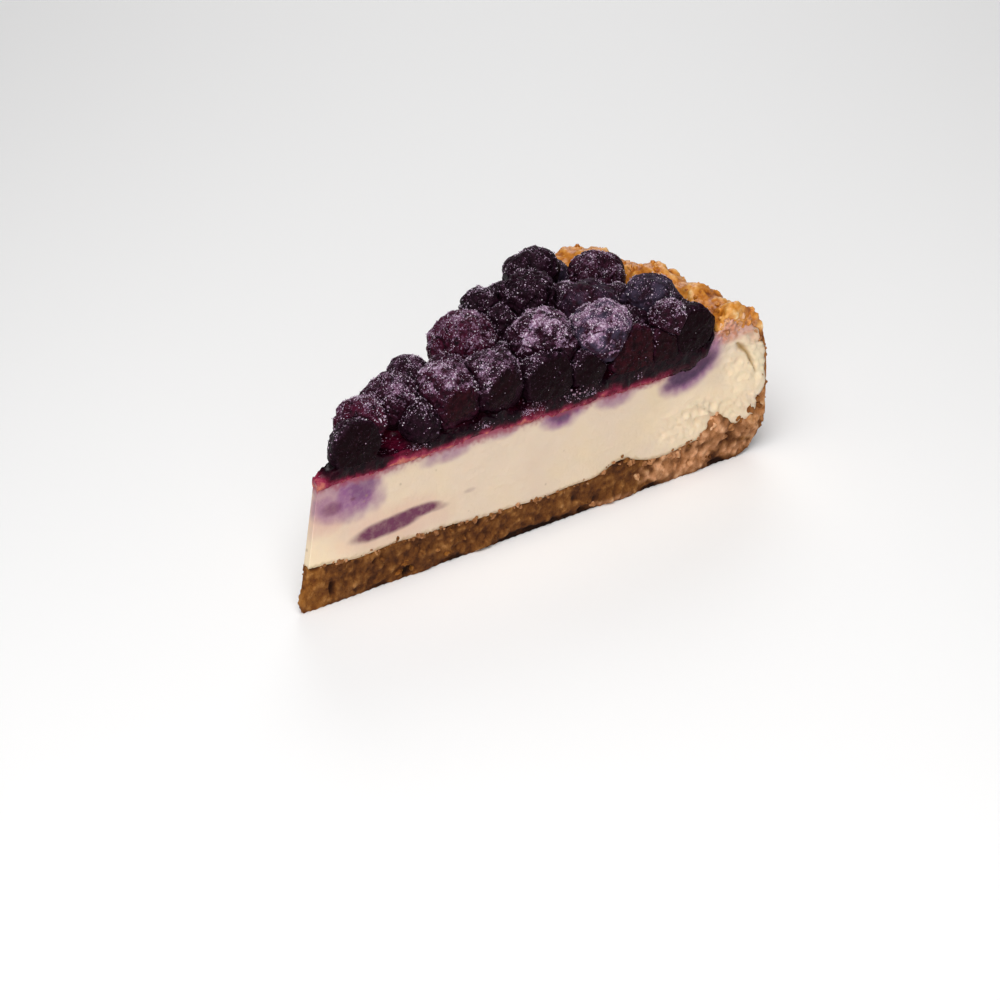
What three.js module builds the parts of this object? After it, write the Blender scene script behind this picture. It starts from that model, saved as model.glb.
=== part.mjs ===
// A slice of baked cheesecake, one fourteenth of a round cake about 25 cm across: a pressed crumb crust that
// turns up at the rim, a thick cream filling, a thin layer of set berry juice, and a heap of berries that
// press on each other, some of them sliced by the knife.
// Millimetres, +Z up, +X from the tip to the rim along the middle of the slice, resting on Z = 0.
import * as THREE from 'three';
import { mergeVertices } from 'three/addons/utils/BufferGeometryUtils.js';
import { ImprovedNoise } from 'three/addons/math/ImprovedNoise.js';

// Driving dimensions.
const cakeRadius = 125.5; // at the widest part of the side
const wedgeAngle = Math.PI / 7; // one fourteenth of the cake
const crustHeight = 8; // the pressed crumb base
const fillingTop = 27.9; // top of the cream filling
const juiceThickness = 2.4; // the set juice under the berries
const rimHeight = 36.3; // crown of the turned-up crust
const touchGap = 0.3; // clearance between pieces that touch

const halfAngle = wedgeAngle / 2;
const cutOffset = 0.8; // the knife passes this far outside the cake's centre line, so the tip is blunt
const tipRadius = 2; // the tip's distance from the cake's centre
const tipLean = 0.165; // the tip slopes back by this much for each millimetre of height
const tipFoot = 1.7; // the pressed base stands out this much further where it rests
const farCutLean = 0.075; // the far cut leans over the tip by this much for each millimetre of height

const perlin = new ImprovedNoise();

// Perlin noise of a point, with the size of its lumps in millimetres.
function lumps(x, y, z, size) {
  return perlin.noise(x / size + 7.3, y / size + 3.1, z / size + 5.7);
}

// How far the far cut comes in towards the near one, at the tip more than at the rim.
function farCutInset(radius, height) {
  return (0.6 + farCutLean * height) * (1 - THREE.MathUtils.smoothstep(radius, 15, 75));
}

// A point of the slice from its distance to the cake's centre, its height, its side (-1 on the near cut, 0 in
// the middle and 1 on the far cut) and how far it stands out of that cut.
function place(radius, height, side, outwards) {
  const turn = side * halfAngle;
  const spread = side * (cutOffset + outwards) - ((side + 1) / 2) * farCutInset(radius, height);
  return new THREE.Vector3(
    radius * Math.cos(turn) - spread * Math.sin(turn),
    radius * Math.sin(turn) + spread * Math.cos(turn),
    height,
  );
}

// Soft lumps side by side along a line, each with its place, width and rise.
function lumpLine(list, place) {
  return list.reduce((sum, lump) => sum + lump.rise * Math.exp(-(((place - lump.at) / lump.width) ** 2)), 0);
}

// Unevenness in the top of the pressed base, which the filling follows: from the tip to the rim.
const baseLumps = [
  { at: 0, width: 9, rise: 2.4 },
  { at: 18, width: 16, rise: 0.9 },
  { at: 33, width: 12, rise: 0.5 },
  { at: 62, width: 16, rise: -0.6 },
  { at: 83, width: 4.5, rise: 1.7 },
  { at: 96, width: 6, rise: -0.9 },
  { at: 110.5, width: 3.4, rise: 4.2 },
];
const baseUnevenness = (radius, side) =>
  lumpLine(baseLumps, radius) + 0.2 * Math.sin(0.41 * radius + 2.2 * side);

// The rim was pressed by thumb, which left humps along it: from the near cut, at -1, to the far one, at 1.
const rimHumps = [
  { at: -0.96, width: 0.1, rise: 1.9 },
  { at: -0.47, width: 0.13, rise: 1.6 },
  { at: 0.04, width: 0.2, rise: 2.3 },
  { at: 0.66, width: 0.17, rise: 1.5 },
];

// A side profile, drawn as matching stretches from the tip to the rim. Points are [radius, height].
const fromRim = (inwards, height) => new THREE.Vector2(cakeRadius - inwards, height);
const tipAt = (height) => new THREE.Vector2(tipRadius + tipLean * height, height);
const line = (a, b) => new THREE.LineCurve(a, b);
const bend = (a, corner, b) => new THREE.QuadraticBezierCurve(a, corner, b);

// How many steps each stretch of the profile takes: base, bottom corner, wall, shoulder and rim.
const profileSteps = [34, 4, 4, 4, 4];
const stepCount = profileSteps.reduce((sum, steps) => sum + steps, 0);

const crustOutside = [
  line(new THREE.Vector2(tipRadius - tipFoot, 0), fromRim(9.5, 0)),
  bend(fromRim(9.5, 0), fromRim(3, 1), fromRim(1, 9)),
  bend(fromRim(1, 9), fromRim(-0.4, 18), fromRim(0.7, 26)),
  bend(fromRim(0.7, 26), fromRim(1.8, 34), fromRim(8.5, rimHeight)),
  bend(fromRim(8.5, rimHeight), fromRim(12, rimHeight + 0.7), fromRim(14.1, rimHeight - 1.7)),
];
const crustInside = [
  line(tipAt(crustHeight), fromRim(10, crustHeight)),
  bend(fromRim(10, crustHeight), fromRim(4.2, crustHeight), fromRim(3.6, 13)),
  bend(fromRim(3.6, 13), fromRim(2.8, 19), fromRim(4.6, 24.5)),
  bend(fromRim(4.6, 24.5), fromRim(6.4, 30), fromRim(10, 31.8)),
  bend(fromRim(10, 31.8), fromRim(12.2, 32.8), fromRim(14.6, 33.1)),
];
const fillingSurface = [
  line(tipAt(fillingTop), fromRim(34, fillingTop)),
  line(fromRim(34, fillingTop), fromRim(26, fillingTop)),
  line(fromRim(26, fillingTop), fromRim(20.4, fillingTop)),
  bend(fromRim(20.4, fillingTop), fromRim(17.9, fillingTop + 0.4), fromRim(16.9, 30)),
  bend(fromRim(16.9, 30), fromRim(16.3, 31), fromRim(15.6, 32)),
];

// The point of a profile at a share of the way from the tip to the rim.
function profilePoint(profile, share) {
  let step = THREE.MathUtils.clamp(share, 0, 1) * stepCount;
  let stretch = 0;
  while (stretch < profile.length - 1 && step > profileSteps[stretch]) {
    step -= profileSteps[stretch];
    stretch += 1;
  }
  return profile[stretch].getPoint(step / profileSteps[stretch]);
}

// The same point moved to the left of the profile, seen along its way.
function besideProfile(profile, share, distance) {
  const point = profilePoint(profile, share);
  const onwards = profilePoint(profile, share + 0.004).sub(profilePoint(profile, share - 0.004)).normalize();
  return point.add(new THREE.Vector2(-onwards.y, onwards.x).multiplyScalar(distance));
}

// The inner side of the crust, or the outer side of the filling that leans on it.
function crustWall(share, side, distance) {
  const point = besideProfile(crustInside, share, distance);
  const onBase = 1 - THREE.MathUtils.smoothstep(profilePoint(crustInside, share).y, 8.2, 12);
  point.y += onBase * baseUnevenness(point.x, side);
  return point;
}

// Folds a box into a piece of the slice. Its length runs from the tip to the rim, its height between two
// profiles, and its depth from the far cut to the near one.
function foldedBox(steps, rows, columns, shape) {
  const box = new THREE.BoxGeometry(1, 1, 1, steps, rows, columns);
  const position = box.getAttribute('position');
  for (let i = 0; i < position.count; i += 1) {
    const point = shape(position.getX(i) + 0.5, position.getY(i) + 0.5, -2 * position.getZ(i));
    position.setXYZ(i, point.x, point.y, point.z);
  }
  return box;
}

// How much of a cut's relief a point takes: all of it on the cut, next to none away from it.
const cutShare = (side) => Math.abs(side) ** 14;

function crustGeometry() {
  return foldedBox(stepCount, 3, 12, (along, upward, side) => {
    const outside = profilePoint(crustOutside, along);
    const inside = crustWall(along, side, 0);
    const section = outside.clone().lerp(inside, upward);
    // Crumbs stand out of the wall, the rim and both cuts.
    const free = 1 - upward;
    const coarse = lumps(section.x, 9 * side, section.y, 4.6);
    const crumb = coarse + 0.7 * lumps(section.x, 14 * side, section.y, 3);
    const wall = THREE.MathUtils.smoothstep(section.x, cakeRadius - 8, cakeRadius - 3) * free;
    const clearOfFloor = THREE.MathUtils.smoothstep(section.y, 0, 2);
    const rim = THREE.MathUtils.smoothstep(outside.y, 28, 34) * free;
    const clearOfBerries = THREE.MathUtils.smoothstep(outside.x, cakeRadius - 14.1, cakeRadius - 11);
    const radius = section.x + 1.6 * wall * clearOfFloor * lumps(3, 25 * side, section.y, 5);
    const hump = lumpLine(rimHumps, side) + 0.9 * lumps(section.x, 27 * side, 2, 4);
    const height = section.y + rim * clearOfBerries * hump;
    return place(radius, height, side, 1.5 * cutShare(side) * clearOfFloor * crumb);
  });
}

// The top of the filling, a little wavy where it has set.
function fillingCrown(share, side) {
  const surface = profilePoint(fillingSurface, share);
  surface.y += 0.25 * Math.sin(0.19 * surface.x + 1.5 * side);
  return surface;
}

function fillingGeometry() {
  return foldedBox(stepCount, 2, 6, (along, upward, side) => {
    const section = crustWall(along, side, touchGap).lerp(fillingCrown(along, side), upward);
    const wave = lumps(section.x, 5 * side, section.y, 9);
    return place(section.x, section.y, side, 0.4 * cutShare(side) * wave);
  });
}

function juiceGeometry() {
  return foldedBox(stepCount / 2, 1, 5, (along, upward, side) => {
    const section = fillingCrown(along, side);
    const rising = THREE.MathUtils.smoothstep(section.x, cakeRadius - 21.5, cakeRadius - 16.5);
    section.x -= 0.6 * rising;
    section.y += touchGap + upward * (juiceThickness - 1.3 * rising);
    return place(section.x, section.y, side, 0.5 * cutShare(side) * lumps(section.x, 7 * side, 4, 4));
  });
}

// The berries: how far each centre lies along the slice from the cake's centre, across it from the middle
// towards the far cut, and above the plate, and its radius. The ones marked cut were sliced by the knife.
const berries = [
  { along: 16.6, across: -3.6, up: 34.9, radius: 6.1, cut: true, crown: [-0.5, 0.7, 0.5] },
  { along: 21.8, across: 0.6, up: 36.4, radius: 5.8 },
  { along: 32.8, across: 2, up: 36.4, radius: 6.7, crown: [0.5, 0.6, 0.6] },
  { along: 42.2, across: 6.3, up: 36.4, radius: 5.6, crown: [-0.8, 0.1, 0.35] },
  { along: 42.7, across: -4.6, up: 36.2, radius: 7.7, cut: true, crown: [-0.7, 0.5, -0.4] },
  { along: 33.8, across: -5.2, up: 34, radius: 5 },
  { along: 53, across: -7.4, up: 36.4, radius: 7.5, cut: true, crown: [0.7, 0.6, 0.3] },
  { along: 58.9, across: 5.7, up: 38, radius: 8 },
  { along: 73, across: 13.2, up: 40.3, radius: 4.8 },
  { along: 73.8, across: 7.8, up: 37, radius: 5.8 },
  { along: 80.4, across: 6.6, up: 41.2, radius: 7 },
  { along: 90.3, across: 14.6, up: 41.3, radius: 6.5 },
  { along: 69.7, across: -7.8, up: 39, radius: 7.9, crown: [-0.62, -0.32, 0.71] },
  { along: 64, across: -13.4, up: 35, radius: 6.5, cut: true },
  { along: 87.2, across: -5.8, up: 39.9, radius: 7.2 },
  { along: 101.8, across: 5, up: 39, radius: 6.7, crown: [-0.2, -0.55, 0.8] },
  { along: 80.6, across: -14.2, up: 39.7, radius: 7.4, crown: [-0.3, 0.5, 0.8] },
  { along: 100.2, across: -12.2, up: 38.7, radius: 7.1 },
  { along: 96.6, across: -20.3, up: 38.3, radius: 5 },
  { along: 101.4, across: -21.2, up: 35, radius: 6.6, cut: true },
  { along: 85.8, across: -18.8, up: 34.6, radius: 6.6, cut: true },
  { along: 74.4, across: -15.6, up: 34.4, radius: 5, cut: true },
  { along: 67, across: 10.2, up: 35.8, radius: 5.8 },
  { along: 82.8, across: 15.4, up: 35.8, radius: 6 },
  { along: 97, across: 16.2, up: 36, radius: 6.4 },
  { along: 92, across: 5.4, up: 35.8, radius: 6.2 },
  { along: 93, across: -13, up: 35.4, radius: 6 },
  { along: 97.8, across: -3.8, up: 35.6, radius: 6 },
  { along: 62.5, across: -2.2, up: 34.9, radius: 5.6 },
  { along: 51, across: 2.6, up: 35, radius: 5.6 },
  { along: 94, across: -20.2, up: 34.2, radius: 5.4, cut: true },
];
const uncutOverhang = 1.2; // how far a berry that the knife missed stands out over a cut
const flattening = 0.9; // a berry's height from stalk to crown over its width
const flatsPerBerry = 7; // where the skin of the thawed fruit has sunk flat
const goldenAngle = 2.39996;

// The direction of a berry's crown. Most are scattered evenly by the golden angle.
function crownOf(berry, index) {
  if (berry.crown) return new THREE.Vector3(...berry.crown).normalize();
  const height = 0.85 * Math.sin(1.7 * index + 0.6);
  const turn = goldenAngle * index;
  const level = Math.sqrt(1 - height * height);
  return new THREE.Vector3(level * Math.cos(turn), level * Math.sin(turn), height);
}

const centreOf = (berry) => new THREE.Vector3(berry.along, berry.across, berry.up);

// The flats of a berry, spread evenly over it, each at its own depth.
function sunkenFlats(berry, index) {
  return Array.from({ length: flatsPerBerry }, (_, i) => {
    const height = 1 - (2 * i + 1) / flatsPerBerry;
    const turn = goldenAngle * i + 1.3 * index;
    const level = Math.sqrt(1 - height * height);
    const normal = new THREE.Vector3(level * Math.cos(turn), level * Math.sin(turn), height);
    return { normal, distance: berry.radius * (0.925 + 0.06 * Math.sin(5.1 * i + 2.7 * index)) };
  });
}

// The planes that press on a berry or cut it: its own flats, its neighbours, the juice under it, the slope of
// the rim and the two cuts. Each has the direction that it presses from and its distance from the centre.
function pressingPlanes(berry, index) {
  const centre = centreOf(berry);
  const planes = sunkenFlats(berry, index);
  for (const other of berries) {
    if (other === berry) continue;
    const towards = centreOf(other).sub(centre);
    const distance = towards.length();
    if (distance > berry.radius + other.radius + touchGap) continue;
    const middle = (distance ** 2 + berry.radius ** 2 - other.radius ** 2) / (2 * distance);
    planes.push({ normal: towards.divideScalar(distance), distance: middle - touchGap / 2 });
  }
  const juiceTop = fillingTop + juiceThickness + 2 * touchGap + 0.2;
  planes.push({ normal: new THREE.Vector3(0, 0, -1), distance: berry.up - juiceTop });

  const turn = Math.atan2(berry.across, berry.along);
  const rimSlope = new THREE.Vector3(0.69 * Math.cos(turn), 0.69 * Math.sin(turn), -0.72);
  const rimFoot = cakeRadius - 19;
  const reach = Math.hypot(berry.along, berry.across);
  planes.push({ normal: rimSlope, distance: 0.69 * (rimFoot - reach) + 0.72 * (berry.up - juiceTop) });

  for (const side of [-1, 1]) {
    const normal = new THREE.Vector3(-Math.sin(halfAngle), side * Math.cos(halfAngle), 0);
    const inside = cutOffset - centre.dot(normal);
    const sliced = berry.cut && side < 0;
    planes.push({ normal, distance: inside + (sliced ? 0 : uncutOverhang) });
  }
  return planes;
}

// How far a berry's skin is from its centre in a direction.
function skinDistance(berry, index, crown, planes, direction) {
  const lean = direction.dot(crown);
  let radius = berry.radius / Math.sqrt(1 + (flattening ** -2 - 1) * lean * lean);
  const dents = lumps(direction.x * 6 + index * 3, direction.y * 6, direction.z * 6, 4.6);
  const wrinkles = lumps(direction.x * 6 + index * 3, direction.y * 6, direction.z * 6 + 20, 2.4);
  const fromCrown = Math.acos(THREE.MathUtils.clamp(lean, -1, 1));
  const pit = -0.16 * Math.exp(-((fromCrown / 0.24) ** 2));
  const collar = 0.05 * Math.exp(-(((fromCrown - 0.42) / 0.14) ** 2));
  radius *= 1 + 0.09 * dents + 0.03 * wrinkles + pit + collar;

  const sharpness = 16; // higher leaves crisper edges where neighbours press
  let sum = radius ** -sharpness;
  for (const plane of planes) {
    const facing = direction.dot(plane.normal);
    if (facing > 0.02) sum += (plane.distance / facing) ** -sharpness;
  }
  return sum ** (-1 / sharpness);
}

function berryGeometry(berry, index) {
  const detail = berry.radius > 6.3 || berry.cut ? 3 : 2;
  const ball = new THREE.IcosahedronGeometry(1, detail);
  const position = ball.getAttribute('position');
  const crown = crownOf(berry, index);
  const planes = pressingPlanes(berry, index);
  const centre = centreOf(berry);
  const direction = new THREE.Vector3();
  for (let i = 0; i < position.count; i += 1) {
    direction.fromBufferAttribute(position, i).normalize();
    const distance = skinDistance(berry, index, crown, planes, direction);
    direction.multiplyScalar(distance).add(centre);
    position.setXYZ(i, direction.x, direction.y, direction.z);
  }
  return ball;
}

// One closed surface with shared corners.
function closed(geometry) {
  geometry.deleteAttribute('normal');
  geometry.deleteAttribute('uv');
  const merged = mergeVertices(geometry, 1e-4);
  merged.computeVertexNormals();
  return merged;
}

const slice = new THREE.Group();

function addPiece(name, geometry, colour, roughness) {
  const material = new THREE.MeshStandardMaterial({ color: colour, roughness, metalness: 0 });
  const piece = new THREE.Mesh(closed(geometry), material);
  piece.name = name;
  slice.add(piece);
}

addPiece('crust', crustGeometry(), 0xa9703f, 0.9);
addPiece('filling', fillingGeometry(), 0xefe0bd, 0.55);
addPiece('berry_juice', juiceGeometry(), 0x5e1029, 0.25);
berries.forEach((berry, index) => {
  const name = `berry_${String(index + 1).padStart(2, '0')}`;
  addPiece(name, berryGeometry(berry, index), 0x2a1528, 0.5);
});

// The origin is at the middle of the slice's footprint.
const bounds = new THREE.Box3().setFromObject(slice, true);
slice.position.set(-(bounds.min.x + bounds.max.x) / 2, -(bounds.min.y + bounds.max.y) / 2, -bounds.min.z);

export default slice;
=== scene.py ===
import math
from functools import partial

import bmesh
import bpy
import numpy as np
from mathutils import Matrix, Vector, noise


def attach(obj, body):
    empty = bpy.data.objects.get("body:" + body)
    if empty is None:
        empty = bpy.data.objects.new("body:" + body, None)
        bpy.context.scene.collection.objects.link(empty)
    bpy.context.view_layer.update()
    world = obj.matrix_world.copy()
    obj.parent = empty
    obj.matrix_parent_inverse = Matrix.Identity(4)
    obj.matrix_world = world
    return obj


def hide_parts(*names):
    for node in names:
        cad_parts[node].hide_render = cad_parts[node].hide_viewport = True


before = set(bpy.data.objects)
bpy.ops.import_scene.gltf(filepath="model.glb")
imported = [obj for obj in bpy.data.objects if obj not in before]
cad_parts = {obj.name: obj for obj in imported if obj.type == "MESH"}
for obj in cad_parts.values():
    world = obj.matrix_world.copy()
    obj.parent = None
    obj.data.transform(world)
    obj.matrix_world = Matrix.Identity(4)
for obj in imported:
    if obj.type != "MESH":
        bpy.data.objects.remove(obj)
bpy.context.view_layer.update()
mm = 0.001
print("packed slice loaded")

# the slice's own shape, in millimetres from the middle of the whole cake
sliceShape = {
    "cakeRadius": 125.5,
    "halfAngle": math.pi / 14,  # one fourteenth of the cake
    "cutOffset": 0.8,  # the knife's distance from the cake's centre line
    "tipRadius": 2.0,
    "tipLean": 0.165,  # the tip slopes back as it rises
    "tipFoot": 1.7,  # the base stands out further where it rests
    "farCutLean": 0.075,  # the far cut leans over the tip
    "crustHeight": 8.0,
    "fillingTop": 27.9,
    "juiceThickness": 2.4,
    "rimHeight": 36.3,
    "gap": 0.3,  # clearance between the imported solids
}
cakeRadius = sliceShape["cakeRadius"]
halfAngle = sliceShape["halfAngle"]
cutOffset = sliceShape["cutOffset"]
crustHeight = sliceShape["crustHeight"]
fillingTop = sliceShape["fillingTop"]
rimHeight = sliceShape["rimHeight"]


def findShift():
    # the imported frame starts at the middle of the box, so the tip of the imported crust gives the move
    crust = np.array([v.co[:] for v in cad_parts["crust"].data.vertices]) / mm
    floorPoints = crust[crust[:, 2] < 0.01]
    footRadius = sliceShape["tipRadius"] - sliceShape["tipFoot"]
    tipX = footRadius * math.cos(halfAngle) - cutOffset * math.sin(halfAngle)
    middleY = (floorPoints[:, 1].min() + floorPoints[:, 1].max()) / 2
    return np.array([floorPoints[:, 0].min() - tipX, middleY, 0.0])


shift = findShift()


def smooth(value, low, high):
    t = np.clip((np.asarray(value, float) - low) / (high - low), 0, 1)
    return t * t * (3 - 2 * t)


def lumps(points, size, seed=0.0):
    # soft bumps between about -1 and 1, with their size in millimetres
    moved = np.asarray(points, float) / size + seed
    return np.array([noise.noise(p) for p in moved.tolist()])


def granules(points, size, seed=0.0):
    # rounded grains of one size: how deep inside its grain a point lies, and a chance number for each grain
    moved = (np.asarray(points, float) / size + seed).tolist()
    depth, chance = np.empty(len(moved)), np.empty(len(moved))
    for i, point in enumerate(moved):
        distances, middles = noise.voronoi(point, distance_metric="DISTANCE")
        depth[i] = distances[0]
        chance[i] = middles[0].dot((12.9898, 78.233, 37.719)) % 1
    return np.clip(1 - 1.7 * depth, 0, 1), chance


def farCutInset(radius, height):
    # the far cut comes in towards the near one, at the tip more than at the rim
    return (0.6 + sliceShape["farCutLean"] * height) * (1 - smooth(radius, 15, 75))


def place(radius, height, side, outwards=0.0):
    # side is -1 on the near cut, 0 in the middle and 1 on the far cut
    turn = side * halfAngle
    spread = side * (cutOffset + outwards) - (side + 1) / 2 * farCutInset(radius, height)
    x = radius * np.cos(turn) - spread * np.sin(turn)
    y = radius * np.sin(turn) + spread * np.cos(turn)
    return np.stack([x, y, height + 0 * x], -1)


def fromRim(inwards, height):
    return (cakeRadius - inwards, height)


def tipAt(height):
    return (sliceShape["tipRadius"] + sliceShape["tipLean"] * height, height)


profileSteps = [34, 4, 4, 4, 4]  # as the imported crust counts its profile
# a profile is its first point, then a corner, or none where it is straight, and an end for each stretch
crustOutside = [
    (sliceShape["tipRadius"] - sliceShape["tipFoot"], 0),
    (None, fromRim(9.5, 0)),
    (fromRim(3, 1), fromRim(1, 9)),
    (fromRim(-0.4, 18), fromRim(0.7, 26)),
    (fromRim(1.8, 34), fromRim(8.5, rimHeight)),
    (fromRim(12, rimHeight + 0.7), fromRim(14.1, rimHeight - 1.7)),
]
crustInside = [
    tipAt(crustHeight),
    (None, fromRim(10, crustHeight)),
    (fromRim(4.2, crustHeight), fromRim(3.6, 13)),
    (fromRim(2.8, 19), fromRim(4.6, 24.5)),
    (fromRim(6.4, 30), fromRim(10, 31.8)),
    (fromRim(12.2, 32.8), fromRim(14.6, 33.1)),
]
fillingSurface = [
    tipAt(fillingTop),
    (None, fromRim(34, fillingTop)),
    (None, fromRim(26, fillingTop)),
    (None, fromRim(20.4, fillingTop)),
    (fromRim(17.9, fillingTop + 0.4), fromRim(16.9, 30)),
    (fromRim(16.3, 31), fromRim(15.6, 32)),
]


def profilePoints(profile, shares):
    # points of a profile at shares of its whole count of steps
    step = np.clip(shares, 0, 1) * sum(profileSteps)
    found = np.zeros((len(step), 2))
    start, a = 0, np.array(profile[0])
    for (corner, end), count in zip(profile[1:], profileSteps):
        b = np.array(end)
        inside = (step >= start - 1e-9) & (step <= start + count + 1e-9)
        t = ((step[inside] - start) / count)[:, None]
        if corner is None:
            found[inside] = a + (b - a) * t
        else:
            found[inside] = a * (1 - t) ** 2 + 2 * np.array(corner) * t * (1 - t) + b * t**2
        start, a = start + count, b
    return found


def sharesOf(counts):
    # shares along a profile that give each of its stretches a count of even steps
    shares, start = [0.0], 0
    for count, steps in zip(counts, profileSteps):
        shares += [(start + steps * (i + 1) / count) / sum(profileSteps) for i in range(count)]
        start += steps
    return np.array(shares)


def lumpLine(lumpList, place):
    # soft lumps side by side along a line: at, width, rise
    return sum(rise * np.exp(-(((place - at) / width) ** 2)) for at, width, rise in lumpList)


baseLumps = [
    (0, 9, 2.4), (18, 16, 0.9), (33, 12, 0.5), (62, 16, -0.6),
    (83, 4.5, 1.7), (96, 6, -0.9), (110.5, 3.4, 4.2),
]
rimHumps = [(-0.96, 0.1, 1.9), (-0.47, 0.13, 1.6), (0.04, 0.2, 2.3), (0.66, 0.17, 1.5)]  # pressed by thumb


def baseUnevenness(radius, side):
    return lumpLine(baseLumps, radius) + 0.2 * np.sin(0.41 * radius + 2.2 * side)


def crustWall(shares, side, distance):
    # the crust's inner side, moved into the filling by a distance
    points = profilePoints(crustInside, shares)
    onwards = profilePoints(crustInside, shares + 0.004) - profilePoints(crustInside, shares - 0.004)
    onwards /= np.linalg.norm(onwards, axis=1)[:, None]
    onBase = 1 - smooth(points[:, 1], 8.2, 12)
    moved = points + distance * np.stack([-onwards[:, 1], onwards[:, 0]], 1)
    moved[:, 1] += onBase * baseUnevenness(moved[:, 0], side)
    return moved


def fillingCrown(shares, side):
    points = profilePoints(fillingSurface, shares)
    points[:, 1] += 0.25 * np.sin(0.19 * points[:, 0] + 1.5 * side)
    return points


def toObject(name, points, faces, flat=False):
    # a mesh from points in millimetres of the slice
    mesh = bpy.data.meshes.new(name)
    mesh.from_pydata(((np.asarray(points) + shift) * mm).tolist(), [], [list(f) for f in faces])
    bm = bmesh.new()
    bm.from_mesh(mesh)
    bmesh.ops.recalc_face_normals(bm, faces=bm.faces)
    bm.to_mesh(mesh)
    bm.free()
    mesh.polygons.foreach_set("use_smooth", [not flat] * len(mesh.polygons))
    piece = bpy.data.objects.new(name, mesh)
    bpy.context.scene.collection.objects.link(piece)
    return piece


def foldedBox(name, shares, rows, sides, shape):
    # a closed skin: along from tip to rim, upward between two profiles, and across from cut to cut
    counts = (len(shares), rows + 1, len(sides))
    grid = np.indices(counts)
    onSkin = np.zeros(counts, bool)
    for axis in range(3):
        onSkin |= (grid[axis] == 0) | (grid[axis] == counts[axis] - 1)
    index = np.full(counts, -1)
    index[onSkin] = np.arange(onSkin.sum())
    a, b, c = (grid[axis][onSkin] for axis in range(3))
    points = shape(shares[a], b / rows, sides[c])
    faces = []
    for sheet in (index[0], index[-1], index[:, 0], index[:, -1], index[:, :, 0], index[:, :, -1]):
        quads = np.stack([sheet[:-1, :-1], sheet[1:, :-1], sheet[1:, 1:], sheet[:-1, 1:]], -1)
        faces += quads.reshape(-1, 4).tolist()
    return toObject(name, points, faces)


def readVectors(collection, name):
    found = np.empty(len(collection) * 3, np.float32)
    collection.foreach_get(name, found)
    return found.reshape(-1, 3).astype(float)


def pointsOf(piece):
    return readVectors(piece.data.vertices, "co") / mm - shift


def normalsOf(piece):
    return readVectors(piece.data.vertex_normals, "vector")


def setPoints(piece, points):
    piece.data.vertices.foreach_set("co", ((points + shift) * mm).astype(np.float32).ravel())
    piece.data.update()


def remember(piece, name, values):
    # keeps a value of each point for the material to read
    layer = piece.data.attributes.new(name, "FLOAT", "POINT")
    layer.data.foreach_set("value", np.asarray(values, np.float32))


def onCut(points, side):
    # how far along a cut points lie, from the cake's centre, and how deep inside the slice
    along = points[:, 0] * math.cos(halfAngle) + side * points[:, 1] * math.sin(halfAngle)
    depth = cutOffset + points[:, 0] * math.sin(halfAngle) - side * points[:, 1] * math.cos(halfAngle)
    if side > 0:
        depth = depth - farCutInset(np.hypot(points[:, 0], points[:, 1]), points[:, 2])
    return along, depth


def spot(along, height, width, rise, strength=1.0, slope=0.0, core=0.05):
    # a soft oval on a cut: its middle, its half width and half height in mm, its strength and slope, and the
    # share of it that is full
    return along, height, width, rise, strength, slope, core


def spotShare(along, height, spots, wander=0.0):
    # 1 in the middle of soft oval spots on a cut, 0 away from them
    total = np.zeros_like(along)
    for middle, level, width, rise, strength, slope, core in spots:
        x = along - middle
        z = height - level - slope * x
        reach = (x / width) ** 2 + (z / rise) ** 2 + wander
        total = np.maximum(total, strength * (1 - smooth(reach, core, 1.5)))
    return total


def toLinear(hexColour):
    channels = [int(hexColour[i : i + 2], 16) / 255 for i in (1, 3, 5)]
    linear = [c / 12.92 if c <= 0.04045 else ((c + 0.055) / 1.055) ** 2.4 for c in channels]
    return (*linear, 1.0)


def feed(node, socket, source):
    # a node is read at its Fac socket or else at its first open one, and a hex colour is made linear
    socket = node.inputs[socket]
    if isinstance(source, bpy.types.Node):
        source = source.outputs.get("Fac") or next(output for output in source.outputs if output.enabled)
    if isinstance(source, bpy.types.NodeSocket):
        node.id_data.links.new(source, socket)
    else:
        socket.default_value = toLinear(source) if isinstance(source, str) else source


def addNode(tree, kind, *sources, stops=(), **settings):
    # sources feed the open sockets in their order, settings name the node's own properties or its sockets,
    # and stops are the places and sRGB colours of a colour ramp
    node = tree.nodes.new("ShaderNode" + kind)
    for key, value in settings.items():
        if hasattr(node, key):
            setattr(node, key, value)
        else:
            feed(node, key, value)
    openSockets = [i for i, socket in enumerate(node.inputs) if socket.enabled]
    for i, source in zip(openSockets, sources):
        feed(node, i, source)
    elements = node.color_ramp.elements if stops else ()
    while len(elements) < len(stops):
        elements.new(0.5)
    for element, (at, colour) in zip(elements, stops):
        element.position = at
        element.color = toLinear(colour)
    return node


def startMaterial(name, **settings):
    # gives the material, a call that adds a node to it, and its shader
    material = bpy.data.materials.new(name)
    material.use_nodes = True
    shader = material.node_tree.nodes["Principled BSDF"]
    for key, value in settings.items():
        feed(shader, key.replace("_", " "), value)
    return material, partial(addNode, material.node_tree), shader


# settings that many nodes share
softly = {"interpolation_type": "SMOOTHSTEP"}
inColour = {"data_type": "RGBA"}
plus = {"operation": "ADD"}
minus = {"operation": "SUBTRACT"}
times = {"operation": "MULTIPLY"}


def grain(add, sizeInMm, detail=3.0, roughness=0.55):
    # noise whose lumps have a real size
    return add("TexNoise", add("TexCoord").outputs["Object"], 1000 / sizeInMm, detail, roughness)


def sway(add, swing, sizeInMm, detail, roughness):
    # the same noise about zero
    centred = add("Math", grain(add, sizeInMm, detail, roughness), 0.5, **minus)
    return add("Math", centred, swing, **times)


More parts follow.
